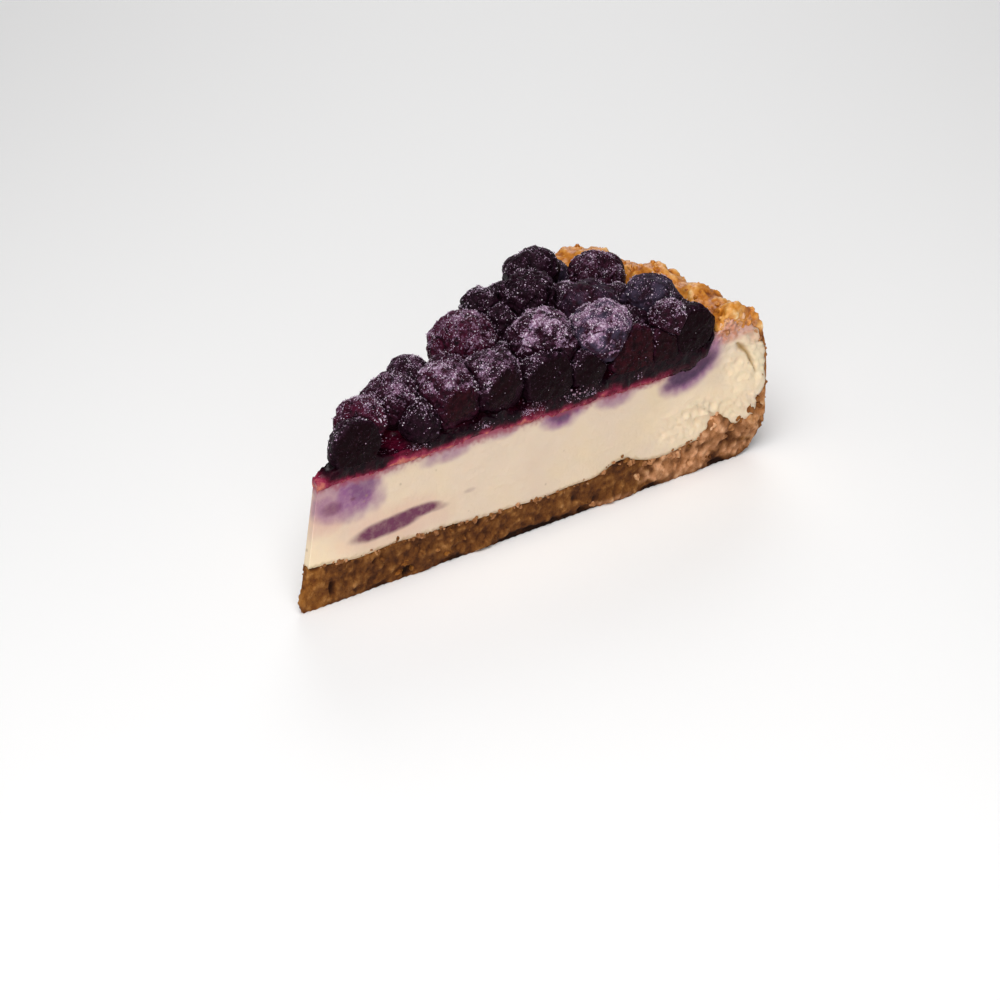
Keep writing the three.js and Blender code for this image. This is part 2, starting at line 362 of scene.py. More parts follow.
def specks(add, sizeInMm, radius):
    # round dots in a random scatter, each with its own share of a radius given in cell widths
    cell = add("TexVoronoi", add("TexCoord").outputs["Object"], 1000 / sizeInMm)
    chance = add("SeparateColor", cell.outputs["Color"])
    reach = add("Math", chance, radius, **times)
    return add("MapRange", add("Math", reach, cell, **minus), -0.04, 0.06, **softly)


# the crust's ramps, read by a tone that holds its real grain and patches and also painted shade and
# highlight
brownStops = [(0.0, "#1B0A03"), (0.25, "#422009"), (0.5, "#633813"), (0.72, "#845427"), (1.0, "#BD884F")]
goldStops = [(0.0, "#7A3A0C"), (0.25, "#B06419"), (0.5, "#D28630"), (0.75, "#E3A557"), (1.0, "#F6D6A4")]
tanStops = [(0.0, "#7E4A27"), (0.3, "#BC7F50"), (0.6, "#DDA277"), (1.0, "#F2CBA4")]


def bakedCrumb():
    # biscuit crumb pressed with butter and baked: brown and granular, golden and buttery at the rim
    material, add, shader = startMaterial("bakedCrumbPressed", IOR=1.45)
    grainToneAndPaintedShade, golden, tan = (add("Attribute", attribute_name=name) for name in ("grainToneAndPaintedShade", "golden", "tan"))
    patches = add("Math", sway(add, 0.55, 6.0, 4.0, 0.6), sway(add, 0.7, 0.8, 4.0, 0.7), **plus)
    # the tone holds painted shade, darker in hollows, pits, holes and the undercut, and painted highlight on
    # lumps and rim knobs, over the crumb's real grain and patches
    tone = add("Math", grainToneAndPaintedShade, patches, **plus)
    brown, gold, pale = (add("ValToRGB", tone, stops=stops) for stops in (brownStops, goldStops, tanStops))
    colour = add("Mix", tan, add("Mix", golden, brown, gold, **inColour), pale, **inColour)
    feed(shader, "Base Color", colour)
    # butter has soaked the rim, which smooths it and makes it shine
    feed(shader, "Roughness", add("MapRange", golden, 0.2, 1.0, 0.8, 0.24, **softly))
    feed(shader, "Specular IOR Level", add("MapRange", golden, 0.2, 1.0, 0.25, 0.5, **softly))
    coarse = add("Math", specks(add, 0.9, 0.7), 0.35, **times)
    rough = add("Math", grain(add, 0.45, 4.0, 0.65), coarse, **plus)
    strength = add("MapRange", golden, 0.3, 1.0, 0.9, 0.4, **softly)
    feed(shader, "Normal", add("Bump", Height=rough, Distance=0.26 * mm, Strength=strength))
    return material


creamStops = [(0.3, "#DDC7B0"), (0.5, "#E0CBB3"), (0.7, "#E2CCAD")]
creamStains = {  # in the order in which they lie over each other
    "pink": "#D4A093",
    "salmon": "#C98A6C",
    "violet": "#8C5582",
    "indigo": "#452547",
    "plum": "#68294A",
}


def setCream():
    # cream cheese filling baked in a slow oven and cut cold: dense, warm ivory, with a soft waxy sheen
    looks = {"Roughness": 0.48, "IOR": 1.45}
    under = {"Subsurface_Weight": 0.25, "Subsurface_Scale": 0.0015, "Subsurface_Radius": (1.0, 0.6, 0.35)}
    material, add, shader = startMaterial("creamFillingBakedAndCut", **looks, **under)
    colour = add("ValToRGB", grain(add, 16.0, 2.0), stops=creamStops)
    colour = add("Mix", add("Attribute", attribute_name="butter"), colour, "#F8E1BB", **inColour)
    mottle = add("MapRange", grain(add, 1.6, 4.0, 0.65), 0.25, 0.75, 0.84, 1.08, **softly)
    for stain, tint in creamStains.items():
        share = add("Math", add("Attribute", attribute_name=stain), mottle, **times)
        colour = add("Mix", share, colour, tint, **inColour)
    colour = add("Mix", add("Attribute", attribute_name="red"), colour, "#93354F", **inColour)
    colour = add("Mix", add("Attribute", attribute_name="brown"), colour, "#A8803A", **inColour)
    flecks = add("Math", specks(add, 4.5, 0.09), 0.5, **times)
    feed(shader, "Base Color", add("Mix", flecks, colour, "#9C8363", **inColour))
    dents = add("Math", grain(add, 5.0, 2.0), 1.5, **times)
    ripple = add("Math", grain(add, 0.9, 3.0), dents, **plus)
    feed(shader, "Normal", add("Bump", Height=ripple, Distance=0.11 * mm))
    return material


juiceStops = [(0.0, "#10030A"), (0.25, "#2C0614"), (0.5, "#610F29"), (0.75, "#93304A"), (1.0, "#CB7B66")]


def setJuice():
    # berry juice set to a jelly: near black where thick, crimson at the cut and salmon where it thins
    material, add, shader = startMaterial("berryJuiceSetToJelly", IOR=1.38, Specular_IOR_Level=0.15)
    blot = sway(add, 1.0, 1.6, 4.0, 0.65)
    blots = add("Math", blot, 0.7, **times)
    amount = add("Math", add("Attribute", attribute_name="thin"), blots, **plus)
    sugar = add("Math", add("Attribute", attribute_name="sugar"), 0.6, **times)
    frost = specks(add, 0.6, sugar)
    share = add("Math", frost, 0.7, **times)
    colour = add("Mix", share, add("ValToRGB", amount, stops=juiceStops), "#C9A3B9", **inColour)
    feed(shader, "Base Color", colour)
    feed(shader, "Roughness", add("MapRange", blot, -0.15, 0.2, 0.15, 0.4, **softly))
    ripple = add("Math", grain(add, 0.9, 3.0), frost, **plus)
    feed(shader, "Normal", add("Bump", Height=ripple, Distance=0.15 * mm))
    return material


skinStops = [(0.3, "#0C0509"), (0.5, "#190A12"), (0.72, "#2A1423")]
# the lightest stops are a painted grey highlight on the fibre ridges of the cut flesh
fleshAndGlintStops = [(0.2, "#120509"), (0.6, "#1E0A10"), (0.85, "#352229"), (1.0, "#5C4A50")]
meltedStops = [(0.35, "#7F5A74"), (0.55, "#96708C"), (0.7, "#A98EAE")]
dotStops = [(0.35, "#A083A0"), (0.5, "#CDB3CB"), (0.65, "#F0E4EF")]


def berrySkin():
    # ripe berries, frozen and thawed: dull blue black skin under icing sugar, dark wet flesh where sliced
    material, add, shader = startMaterial("berrySkinUnderSugar", IOR=1.4, Specular_IOR_Level=0.05)
    names = ("knife", "ruddy", "bloom", "fleshStreakAndGlint", "sugar")
    knife, ruddy, bloom, fleshStreakAndGlint, dusted = (add("Attribute", attribute_name=name) for name in names)
    mottle = grain(add, 1.4, 4.0, 0.65)
    red = add("Math", ruddy, add("MapRange", mottle, 0.3, 0.7, **softly), **times)
    skin = add("Mix", red, add("ValToRGB", mottle, stops=skinStops), "#471126", **inColour)
    hazy = add("MapRange", grain(add, 2.6, 3.0), 0.35, 0.7, **softly)
    skin = add("Mix", add("Math", bloom, hazy, **times), skin, "#4A4459", **inColour)
    # cut flesh goes from dark red to grey along its fibre streaks, the grey a painted highlight on the
    # ridges
    flesh = add("Mix", red, add("ValToRGB", fleshStreakAndGlint, stops=fleshAndGlintStops), "#40141C", **inColour)
    colour = add("Mix", knife, skin, flesh, **inColour)
    # the sugar lies in drifts, its haze half melted into the skin and its dry grains white
    drift = add("MapRange", grain(add, 2.4, 3.0, 0.6), 0.36, 0.62, 0.3, 1.25, **softly)
    sugar = add("Math", dusted, drift, **times)
    thick = add("Math", sugar, 0.55, **minus)
    haze = add("Math", sway(add, 3.4, 0.5, 4.0, 0.8), thick, **plus)
    melted = add("ValToRGB", grain(add, 1.8, 3.0, 0.6), stops=meltedStops)
    colour = add("Mix", add("MapRange", haze, -0.3, 0.6, 0.0, 0.78, **softly), colour, melted, **inColour)
    smallDots = specks(add, 0.42, add("Math", sugar, 0.62, **times))
    largeDots = specks(add, 0.75, add("Math", sugar, 0.4, **times))
    dots = add("Math", smallDots, largeDots, operation="MAXIMUM")
    dotTint = add("ValToRGB", grain(add, 0.9, 2.0), stops=dotStops)
    share = add("Math", dots, 0.85, **times)
    feed(shader, "Base Color", add("Mix", share, colour, dotTint, **inColour))
    dry = add("MapRange", sugar, 0.0, 0.8, 0.4, 0.75, **softly)
    wet = add("MapRange", knife, 0.0, 1.0, 1.0, 0.6, **softly)
    feed(shader, "Roughness", add("Math", dry, wet, **times))
    grains = add("Math", dots, 0.6, **times)
    rough = add("Math", grain(add, 0.5, 4.0, 0.6), grains, **plus)
    feed(shader, "Normal", add("Bump", Height=rough, Distance=0.2 * mm))
    return material


sugarStops = [(0.0, "#8D6A86"), (0.5, "#BDA0BA"), (0.85, "#D9C7D8"), (1.0, "#F6F0F5")]


def icingSugar():
    # icing sugar that has drawn a little juice: matt, off white with a rosy cast
    material, add, shader = startMaterial("icingSugarSifted", Roughness=0.6, IOR=1.5)
    feed(shader, "Base Color", add("ValToRGB", add("Attribute", attribute_name="tint"), stops=sugarStops))
    return material


materials = {
    "crumb": bakedCrumb(),
    "cream": setCream(),
    "juice": setJuice(),
    "berry": berrySkin(),
    "sugar": icingSugar(),
}
print("materials made")


def finishPiece(piece, material, nodes=()):
    piece.data.materials.clear()
    piece.data.materials.append(materials[material])
    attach(piece, "root")
    if nodes:
        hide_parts(*nodes)
    return piece


crustLooks = {
    "voxel": 0.42,  # mm, the size of the surface's own mesh
    # its lumps and its crumbs: how wide and how high each kind is, in mm
    "lumps": [(4.4, 0.45), (2.0, 0.35), (0.95, 0.16)],
    "crumbs": [(2.6, 0.55), (1.3, 0.34)],
    "pitDepth": 0.6,
    "rimKnobs": 0.75,
    "bossRise": 0.7,
    "holeDepth": 1.6,
    "undercutDepth": 1.0,
    "smearDepth": 0.45,  # the knife pressed the wall's cut in
    "wornTip": 1.3,  # mm that the foot of the tip is worn back
    "cutEdge": (0.2, 1.6),  # mm inside a cut, over which its own roughness fades
    "rimFrom": (106, 110),  # mm from the cake's middle, over which the rim and the wall begin
    "wallFrom": (117, 121),
    # the spots on the near cut: how far along it from the cake's middle, and the height
    "holes": [spot(8.9, 3.5, 0.75, 1.9), spot(27.6, 1.4, 1.3, 1.2)],
    "bosses": [
        spot(31.0, 2.9, 4.0, 3.2), spot(96.0, 2.6, 3.4, 2.4, 0.8), spot(110.2, 9.8, 4.6, 4.2, 1.6),
        spot(118.2, 7.6, 4.0, 2.8, 1.2), spot(83.0, 1.4, 5.5, 1.8), spot(48.0, 1.6, 4.0, 1.8, 0.5),
        spot(103.5, 1.8, 4.0, 2.0, 0.7),
    ],
    "undercut": [
        spot(61.0, 0.0, 14.0, 1.5), spot(20.5, 0.0, 2.6, 1.3, 0.7), spot(38.5, 0.0, 3.4, 1.2, 0.8),
        spot(74.5, 0.0, 3.0, 1.6, 1.2), spot(91.5, 0.0, 3.0, 1.4, 0.9), spot(110.5, 0.0, 2.4, 1.8, 1.1),
    ],
    "tan": [
        spot(110.3, 9.6, 5.2, 4.8, 1.1), spot(101.0, 4.2, 11.0, 4.4, 1.05),
        spot(118.5, 7.0, 4.5, 3.5, 0.7), spot(122.5, 12.0, 3.5, 5.0, 0.6),
        spot(115.2, 2.4, 5.5, 1.6, 0.9), spot(80.0, 0.6, 6.0, 1.0, 0.8),
    ],
}


def remeshed(piece, voxel):
    change = piece.modifiers.new("evenMesh", "REMESH")
    change.mode = "VOXEL"
    change.voxel_size = voxel * mm
    change.use_smooth_shade = True
    graph = bpy.context.evaluated_depsgraph_get()
    mesh = bpy.data.meshes.new_from_object(piece.evaluated_get(graph))
    piece.modifiers.clear()
    piece.data = mesh


def makeCrust():
    looks = crustLooks

    def shape(share, upward, side):
        outside = profilePoints(crustOutside, share)
        inside = crustWall(share, side, 0.0)
        section = outside + (inside - outside) * upward[:, None]
        crown = smooth(outside[:, 1], 28, 34) * (1 - upward)
        crown = crown * smooth(outside[:, 0], cakeRadius - 14.1, cakeRadius - 11)
        return place(section[:, 0], section[:, 1] + crown * lumpLine(rimHumps, side), side)

    crust = foldedBox("crumbCrust", sharesOf([70, 10, 16, 12, 12]), 8, np.linspace(-1, 1, 41), shape)
    remeshed(crust, looks["voxel"])
    points, normals = pointsOf(crust), normalsOf(crust)
    radius, height = np.hypot(points[:, 0], points[:, 1]), points[:, 2]
    along, near = onCut(points, -1)
    cut = 1 - smooth(np.minimum(near, onCut(points, 1)[1]), *looks["cutEdge"])
    nearCut = 1 - smooth(near, *looks["cutEdge"])
    rim = smooth(height, 28, 33) * smooth(radius, *looks["rimFrom"])
    wall = smooth(radius, *looks["wallFrom"]) * smooth(height, 4, 10)
    # crumb smeared by the knife lies flatter than crumb that broke away
    broken = smooth(lumps(points, 13, 4.0), -0.05, 0.3)
    rough = (0.65 + 0.5 * broken) * cut + (0.75 + 0.15 * rim) * (1 - cut)
    smear = nearCut * smooth(along, 112, 115) * smooth(height, 9, 12) * (1 - smooth(height, 31, 34))
    rough = rough * (1 - 0.7 * smear)
    (bigSize, bigRise), (middleSize, middleRise), (fineSize, fineRise) = looks["lumps"]
    big = lumps(points, bigSize, 1.0)
    middle = lumps(points, middleSize, 7.0)
    fine = lumps(points, fineSize, 3.0)
    (largeSize, largeRise), (smallSize, smallRise) = looks["crumbs"]
    largeGrain, largeChance = granules(points, largeSize, 2.0)
    smallGrain, smallChance = granules(points, smallSize, 9.0)
    largeGrain = np.sqrt(largeGrain) * smooth(largeChance, 0.35, 0.75)
    smallGrain = np.sqrt(smallGrain) * smooth(smallChance, 0.3, 0.6)
    wander = 0.5 * lumps(points, 1.8, 2.0)
    holes, bosses, undercut = (
        nearCut * spotShare(along, height, looks[name], wander) for name in ("holes", "bosses", "undercut")
    )
    pits = smooth(lumps(points, 2.7, 12.0), 0.48, 0.7) * (1 - np.clip(2 * bosses, 0, 1))
    knobs = lumps(points, 3.6, 15.0)
    rise = bigRise * big + middleRise * middle + fineRise * fine - looks["pitDepth"] * pits
    rise += largeRise * (largeGrain - 0.3) + smallRise * (smallGrain - 0.3)
    rise += looks["rimKnobs"] * rim * knobs
    clearOfFloor = smooth(height, 0.1, 1.2)
    rise = rise * rough * clearOfFloor + looks["bossRise"] * bosses - looks["holeDepth"] * holes
    rise = rise - looks["undercutDepth"] * undercut - looks["smearDepth"] * smear
    moved = points + normals * (rise * smooth(height, -0.1, 0.3))[:, None]
    moved[:, 0] += looks["wornTip"] * (1 - smooth(height, 0, 3)) ** 2 * (1 - smooth(points[:, 0], 0, 5))
    moved[:, 2] = np.maximum(moved[:, 2], 0)
    setPoints(crust, moved)
    # painted shade and highlight in the colour: darker in low spots, pits, holes and the undercut, lighter
    # on lumps, grains and rim knobs; the grains' chance adds real tone
    grainToneAndPaintedShade = 0.5 + 0.22 * middle + 0.13 * fine + 0.22 * (largeGrain - 0.3) + 0.18 * (smallGrain - 0.3)
    grainToneAndPaintedShade += 0.2 * (smallChance - 0.5) - 0.3 * pits - 0.7 * holes - 0.5 * undercut + 0.35 * rim * knobs
    remember(crust, "grainToneAndPaintedShade", np.clip(grainToneAndPaintedShade, 0, 1))
    tip = 0.2 * (1 - smooth(along, 2, 12))
    remember(crust, "golden", np.clip(rim + tip + 0.45 * wall + 0.05, 0, 1))
    tan = nearCut * spotShare(along, height, looks["tan"], 2 * wander) * (0.6 + 0.4 * smallGrain)
    remember(crust, "tan", np.clip(tan, 0, 1))
    return finishPiece(crust, "crumb", ["crust"])


crust = makeCrust()
print("crust made")


fillingLooks = {
    # in mm, where each begins and where it ends
    "stainDepth": (0.5, 3),  # how deep stains go in from a cut
    "hazeDepth": (0.4, 3.2),  # how far the juice's haze and its red go down
    "bleedDepth": (-0.2, 1.7),
    "juiceEnds": (107, 110.5),  # away from the cake's middle
    "paleFrom": (94, 99),  # from here to the rim the near cut shows little red
    "flapFoot": (13.0, 17.5),  # the height of the smeared flap's foot and head
    "flapHead": (31.8, 33),
    "flapReach": (0.45, 0.88),  # the least and most of the wall's thickness that it covers
    "crackDepth": 0.8,
    # the stains of the near cut, by the distance along it from the cake's middle and the height
    "violet": [
        spot(15.5, 24.0, 7.6, 5.6, 1.05), spot(9.5, 23.4, 5.0, 4.0, 0.75),
        spot(12.0, 26.4, 8.0, 3.6, 0.6), spot(38.5, 26.6, 7.5, 2.4, 0.7),
        spot(53.5, 27.2, 5.0, 2.0, 0.6), spot(68.3, 26.4, 6.2, 3.2, 1.1),
        spot(82.5, 25.8, 5.2, 2.8, 0.75), spot(103.5, 26.2, 8.4, 4.6, slope=0.25),
        spot(103.5, 27.6, 6.5, 3.0), spot(108.3, 29.0, 3.6, 4.4, 0.9),
    ],
    "indigo": [
        spot(17.5, 25.6, 3.8, 3.2, 0.35), spot(68.5, 26.6, 4.0, 2.2, 0.85),
        spot(103.0, 26.4, 6.6, 2.9, 1.1, slope=0.25), spot(104.5, 27.8, 6.0, 2.4),
    ],
    "plum": [
        spot(23.5, 14.0, 9.4, 2.0, slope=0.06, core=0.45),
        spot(30.5, 14.9, 6.0, 1.5, slope=0.02, core=0.45), spot(35.0, 14.4, 3.6, 0.9, 0.5, slope=-0.05),
        spot(9.8, 22.6, 2.6, 1.6, 0.6), spot(15.0, 23.3, 0.7, 0.4, 0.9),
        spot(44.0, 15.6, 1.6, 0.5, 0.3),
    ],
    "pink": [
        spot(24.0, 14.0, 17.0, 5.0, 0.35), spot(7.5, 22.0, 7.0, 6.0, 0.5),
        spot(115.5, 33.4, 7.5, 3.6, 0.9),
    ],
    "salmon": [spot(114.5, 33.6, 8.0, 3.8), spot(121.5, 31.0, 4.0, 4.0, 0.6)],
    # the cream tore off the knife here
    "torn": [
        spot(104.0, 13.5, 11.0, 5.0), spot(118.5, 24.0, 6.5, 9.0, 0.8), spot(115.5, 33.0, 7.0, 3.4),
    ],
    # cream and crumb ground together, in lumps
    "crumbly": [
        spot(114.5, 33.6, 8.5, 4.2), spot(121.8, 25.0, 3.2, 10.0, 0.8),
        spot(105.5, 14.0, 8.0, 2.8, 0.9), spot(118.5, 13.0, 7.0, 3.2, 0.9),
    ],
    "butter": [
        spot(5.0, 12.0, 10.0, 6.0, 0.6), spot(106.0, 14.0, 16.0, 8.0, 0.5),
        spot(119.0, 22.0, 7.0, 9.0, 0.7),
    ],
    # along the near cut, height and half width of a crack at the wall
    "crack": [
        (121.4, 20.2, 0.2), (120.2, 23.0, 0.35), (118.9, 25.6, 0.5), (117.4, 27.4, 1.0), (116.2, 28.8, 0.5)
    ],
    # distance from the cake's middle and how far the juice ran down there, in mm
    "juiceRuns": [
        (8, -0.3), (20, 0.3), (30, 0.0), (45, 0.3), (60, 0.6), (75, 1.1), (95, 1.2), (103, 1.0), (109, 0.0)
    ],
    # stains on the far cut, which the photo doesn't show
    "farViolet": [
        spot(34.0, 25.2, 9.0, 4.0, 0.8), spot(62.0, 26.6, 6.0, 2.0, 0.5),
        spot(87.0, 25.6, 8.0, 3.6, 0.75),
    ],
    "farPlum": [spot(58.0, 16.5, 11.0, 1.7, 0.85, slope=-0.12)],
}


def juiceRun(along):
    # how far the juice ran down the near cut, in millimetres
    places, runs = np.array(fillingLooks["juiceRuns"]).T
    return np.interp(along, places, runs)


def crackShare(along, height):
    # 1 in the middle of the crack, from its own line of points
    crackAlong, crackHeight, crackWidth = np.array(fillingLooks["crack"]).T
    away = (along - np.interp(height, crackHeight, crackAlong)) / np.interp(height, crackHeight, crackWidth)
    foot, head = crackHeight[0], crackHeight[-1]
    inside = smooth(height, foot - 0.3, foot) * (1 - smooth(height, head, head + 0.3))
    return inside * np.exp(-(away**2))


def tornCream(spots, along, height):
    # where the knife tore flakes and left lumps of cream and crumb, in millimetres out of the cut
    pit, chance = granules(spots, 2.1, 5.0)
    flakes = 0.35 * lumps(spots * [0.6, 1, 2.0], 2.4, 8.0) + 0.3 * lumps(spots, 1.1, 4.0)
    tear = spotShare(along, height, fillingLooks["torn"]) * (flakes - 0.7 * pit * smooth(chance, 0.4, 0.65))
    bent = spots + 0.9 * np.stack([lumps(spots, 1.9, seed) for seed in (1.0, 4.0, 6.0)], 1)
    lump, lumpChance = granules(bent, 1.6, 3.0)
    clods = 0.7 * np.sqrt(lump) * smooth(lumpChance, 0.2, 0.7) - 0.3 + 0.3 * lumps(spots, 0.9, 2.0)
    return tear + spotShare(along, height, fillingLooks["crumbly"]) * clods


def stainFilling(filling):
    looks = fillingLooks
    points = pointsOf(filling)
    height = points[:, 2]
    wander = 0.45 * lumps(points, 4.2, 6.0) + 0.2 * lumps(points, 1.6, 2.0)
    along, depth = onCut(points, -1)
    farAlong, farDepth = onCut(points, 1)
    onNear, onFar = 1 - smooth(depth, *looks["stainDepth"]), 1 - smooth(farDepth, *looks["stainDepth"])
    below = fillingTop - height
    # the juice has drawn a soft haze down into the cream, in some places deeper than in others
    deep = smooth(lumps(points * [1, 1, 0.2], 10, 3.0), -0.3, 0.4)
    underJuice = 1 - smooth(np.hypot(points[:, 0], points[:, 1]), *looks["juiceEnds"])
    haze = (0.25 + 0.4 * deep) * (1 - smooth(below + wander, *looks["hazeDepth"])) * underJuice
    for stain in ("violet", "indigo", "plum", "pink", "salmon", "butter"):
        unevenness = 0.4 * wander if stain == "plum" else wander
        share = onNear * spotShare(along, height, looks[stain], unevenness)
        if stain == "violet":
            share = np.maximum(share, haze)
        if stain == "salmon":
            share = share * smooth(granules(points, 1.4, 3.0)[1] + 0.4 * lumps(points, 1.0), 0.3, 0.7)
        farStain = looks.get("far" + stain.capitalize())
        if farStain:
            share = np.maximum(share, onFar * spotShare(farAlong, height, farStain, wander))
        remember(filling, stain, np.clip(share, 0, 1))
    fuzz = 0.6 * lumps(points, 1.6, 4.0) + 0.6 * lumps(points, 0.7, 8.0)
    bleed = 1 - smooth(below - juiceRun(along) * onNear + 1.1 * fuzz, *looks["bleedDepth"])
    paler = 1 - 0.9 * onNear * smooth(along, *looks["paleFrom"])
    remember(filling, "red", 0.9 * bleed * underJuice * paler)
    base = crustHeight + baseUnevenness(along, -1)
    hem = 0.4 * (1 - smooth(height - base + 0.9 * fuzz, 0.2, 1.0))
    remember(filling, "brown", np.maximum(0.85 * onNear * crackShare(along, height), hem))


def makeFilling():
    looks = fillingLooks
    sides = np.concatenate([[-1, -0.985, -0.95], np.linspace(-0.85, 0.85, 9), [0.95, 0.985, 1]])

    def shape(share, upward, side):
        cut = (np.abs(side) > 0.999).astype(float)
        bottom = crustWall(share, side, 0.02)
        outside = profilePoints(crustOutside, share)
        spots = np.stack([bottom[:, 0], 30 * side, bottom[:, 1]], 1)
        # the knife dragged a flap of cream over the cut of the wall, nearly to its outside
        head = smooth(bottom[:, 1], *looks["flapHead"])
        wall = smooth(bottom[:, 1], *looks["flapFoot"]) * (1 - 0.4 * head)
        flap = 0.8 + 0.2 * lumps(spots, 3.6, 5.0) + 0.2 * lumps(spots, 1.5, 2.0)
        reach = cut * wall * np.clip(flap, *looks["flapReach"])
        bottom = bottom + (outside - bottom) * reach[:, None]
        section = bottom + (fillingCrown(share, side) - bottom) * upward[:, None]
        along, height = section[:, 0], section[:, 1]
        spots = np.stack([along, 20 * side, height], 1)
        wave = 0.25 * lumps(spots, 9) + 0.08 * lumps(spots * [1, 1, 3.0], 4, 3.0)
        onFlap = smooth(along, 112, 118) * smooth(height, 7, 11)
        crack = (side < 0) * crackShare(along, height)
        outwards = 0.1 + wave + tornCream(spots, along, height) + 0.25 * onFlap - looks["crackDepth"] * crack
        outwards = outwards - (1 - smooth(upward, 0, 0.04)) * (0.15 + 0.5 * wall)
        return place(along, height, side, cut * smooth(share, 0, 0.05) * outwards)

    filling = foldedBox("creamFilling", sharesOf([330, 22, 34, 24, 18]), 56, sides, shape)
    stainFilling(filling)
    return finishPiece(filling, "cream", ["filling"])


makeFilling()
print("filling made")


def berryAt(x, y, z, radius, sugar, cut=False, crown=None, ruddy=0.05, bloom=0.0, crumple=1.0, fibreAndGlint=0.2):
    # sugar on it, whether the knife went through, where its crown points, red in its skin, blue bloom on it,
    # how crumpled its skin is, and how much its cut flesh's fibres show, in ridges and a painted grey
    # highlight
    looks = {"sugar": sugar, "ruddy": ruddy, "bloom": bloom, "crumple": crumple, "fibreAndGlint": fibreAndGlint}
    return {"at": (x, y, z), "radius": radius, "cut": cut, "crown": crown, **looks}


berries = [
    berryAt(16.6, -3.6, 34.9, 6.1, 0.25, cut=True, crown=(-0.5, 0.7, 0.5), fibreAndGlint=0.8),
    berryAt(21.8, 0.6, 36.4, 5.8, 0.6, ruddy=1.0),
    berryAt(32.8, 2, 36.4, 6.7, 0.75, crown=(0.5, 0.6, 0.6), ruddy=0.3),
    berryAt(42.2, 6.3, 36.4, 5.6, 0.45, crown=(-0.8, 0.1, 0.35), ruddy=0.1),
    berryAt(42.7, -4.6, 36.2, 7.7, 1.05, cut=True, crown=(-0.7, 0.5, -0.4), ruddy=0.5),
    berryAt(33.8, -5.2, 34, 5, 0.3, crumple=1.5),
    berryAt(53, -7.4, 36.4, 7.5, 1.0, cut=True, crown=(0.7, 0.6, 0.3), ruddy=0.15),
    berryAt(58.9, 5.7, 38, 8, 0.85, crown=(-0.92, -0.05, 0.35), ruddy=0.9),
    berryAt(73, 13.2, 40.3, 4.8, 0.35, crumple=1.8),
    berryAt(73.8, 7.8, 37, 5.8, 0.35, crumple=1.8),
    berryAt(80.4, 6.6, 41.2, 7, 0.38, crumple=2.0),
    berryAt(90.3, 14.6, 41.3, 6.5, 0.33, crumple=1.6),
    berryAt(69.7, -7.8, 39, 7.9, 1.25, crown=(-0.62, -0.32, 0.71), ruddy=0.2),
    berryAt(64, -13.4, 35, 6.5, 0.45, cut=True, fibreAndGlint=0.5),
    berryAt(87.2, -5.8, 39.9, 7.2, 0.2, ruddy=0.35, bloom=0.25),
    berryAt(101.8, 5, 39, 6.7, 0.6, crown=(-0.2, -0.55, 0.8), ruddy=0.3),
    berryAt(80.6, -14.2, 39.7, 7.4, 1.5, crown=(-0.3, 0.5, 0.8), ruddy=0.4, bloom=0.7),
    berryAt(100.2, -12.2, 38.7, 7.1, 0.3, bloom=0.5),
    berryAt(96.6, -20.3, 38.3, 5, 0.8, ruddy=0.3),
    berryAt(101.4, -21.2, 35, 6.6, 0.1, cut=True, fibreAndGlint=0.3),
    berryAt(85.8, -18.8, 34.6, 6.6, 0.15, cut=True, ruddy=0.6, fibreAndGlint=0.4),
    berryAt(74.4, -15.6, 34.4, 5, 0.45, cut=True),
    berryAt(67, 10.2, 35.8, 5.8, 0.6, ruddy=0.4),
    berryAt(82.8, 15.4, 35.8, 6, 0.5),
    berryAt(97, 16.2, 36, 6.4, 0.5, bloom=0.4),
    berryAt(92, 5.4, 35.8, 6.2, 0.5),
    berryAt(93, -13, 35.4, 6, 0.4),
    berryAt(97.8, -3.8, 35.6, 6, 0.4),
    berryAt(62.5, -2.2, 34.9, 5.6, 0.4),
    berryAt(51, 2.6, 35, 5.6, 0.5, ruddy=0.4),
    berryAt(94, -20.2, 34.2, 5.4, 0.2, cut=True, ruddy=0.3),
]
berryLooks = {
    "overhang": 1.2,  # mm that an uncut berry stands out over a cut
    "flattening": 0.9,  # height over width
    "crownPit": 0.16,  # as a share of the radius
    "plump": 1.04,
    "cutProud": 0.25,  # mm that a cut face stands out of the knife's cut
    "touch": 0.04,  # mm left between berries that press on each other
    "sharpness": 20.0,  # higher leaves crisper edges where they press
    "flats": 7,  # where the thawed skin has sunk
    "fineFrom": 6.7,  # mm radius, from here on a berry gets the finer mesh
}
juiceTop = fillingTop + sliceShape["juiceThickness"] + 2 * sliceShape["gap"] - 0.2


sugarLooks = {
    "grains": 19000,
    "smallest": 0.06,  # mm, half the width of a grain
    "largest": 0.21,
    # lumps of sugar on the juice's edge: distance from the cake's middle where each starts and ends
    "clumps": [(29.8, 33.8), (46.2, 50.0), (57.8, 64.0), (69.0, 71.6), (72.7, 77.2), (88.0, 89.5)],
    "clumpGrains": 60,  # for each millimetre
    "scatter": 0.12,  # mm about the place it fell on
}
juiceLooks = {
    "upTheRim": (21.5, 16.5),  # mm inwards from the cake's rim, where it thins as the filling rises
    "nearTip": (4.5, 11),  # mm from the cake's middle, over which it comes to its thickness
    "drip": 0.5,  # mm that its edge wanders on a cut
    "proud": 0.3,  # mm that it stands out of the cut
    "climb": 1.1,  # mm that it climbs up the berries
    # crimson where no berry lies behind it
    "bright": [
        spot(27.5, 29.4, 4.6, 2.2, 0.38), spot(42.0, 28.6, 5.0, 1.0, 0.2),
        spot(60.5, 29.2, 3.6, 1.4, 0.3), spot(48.5, 29.0, 2.0, 1.0, 0.3),
        spot(80.5, 28.6, 4.0, 1.2, 0.25),
    ],
}


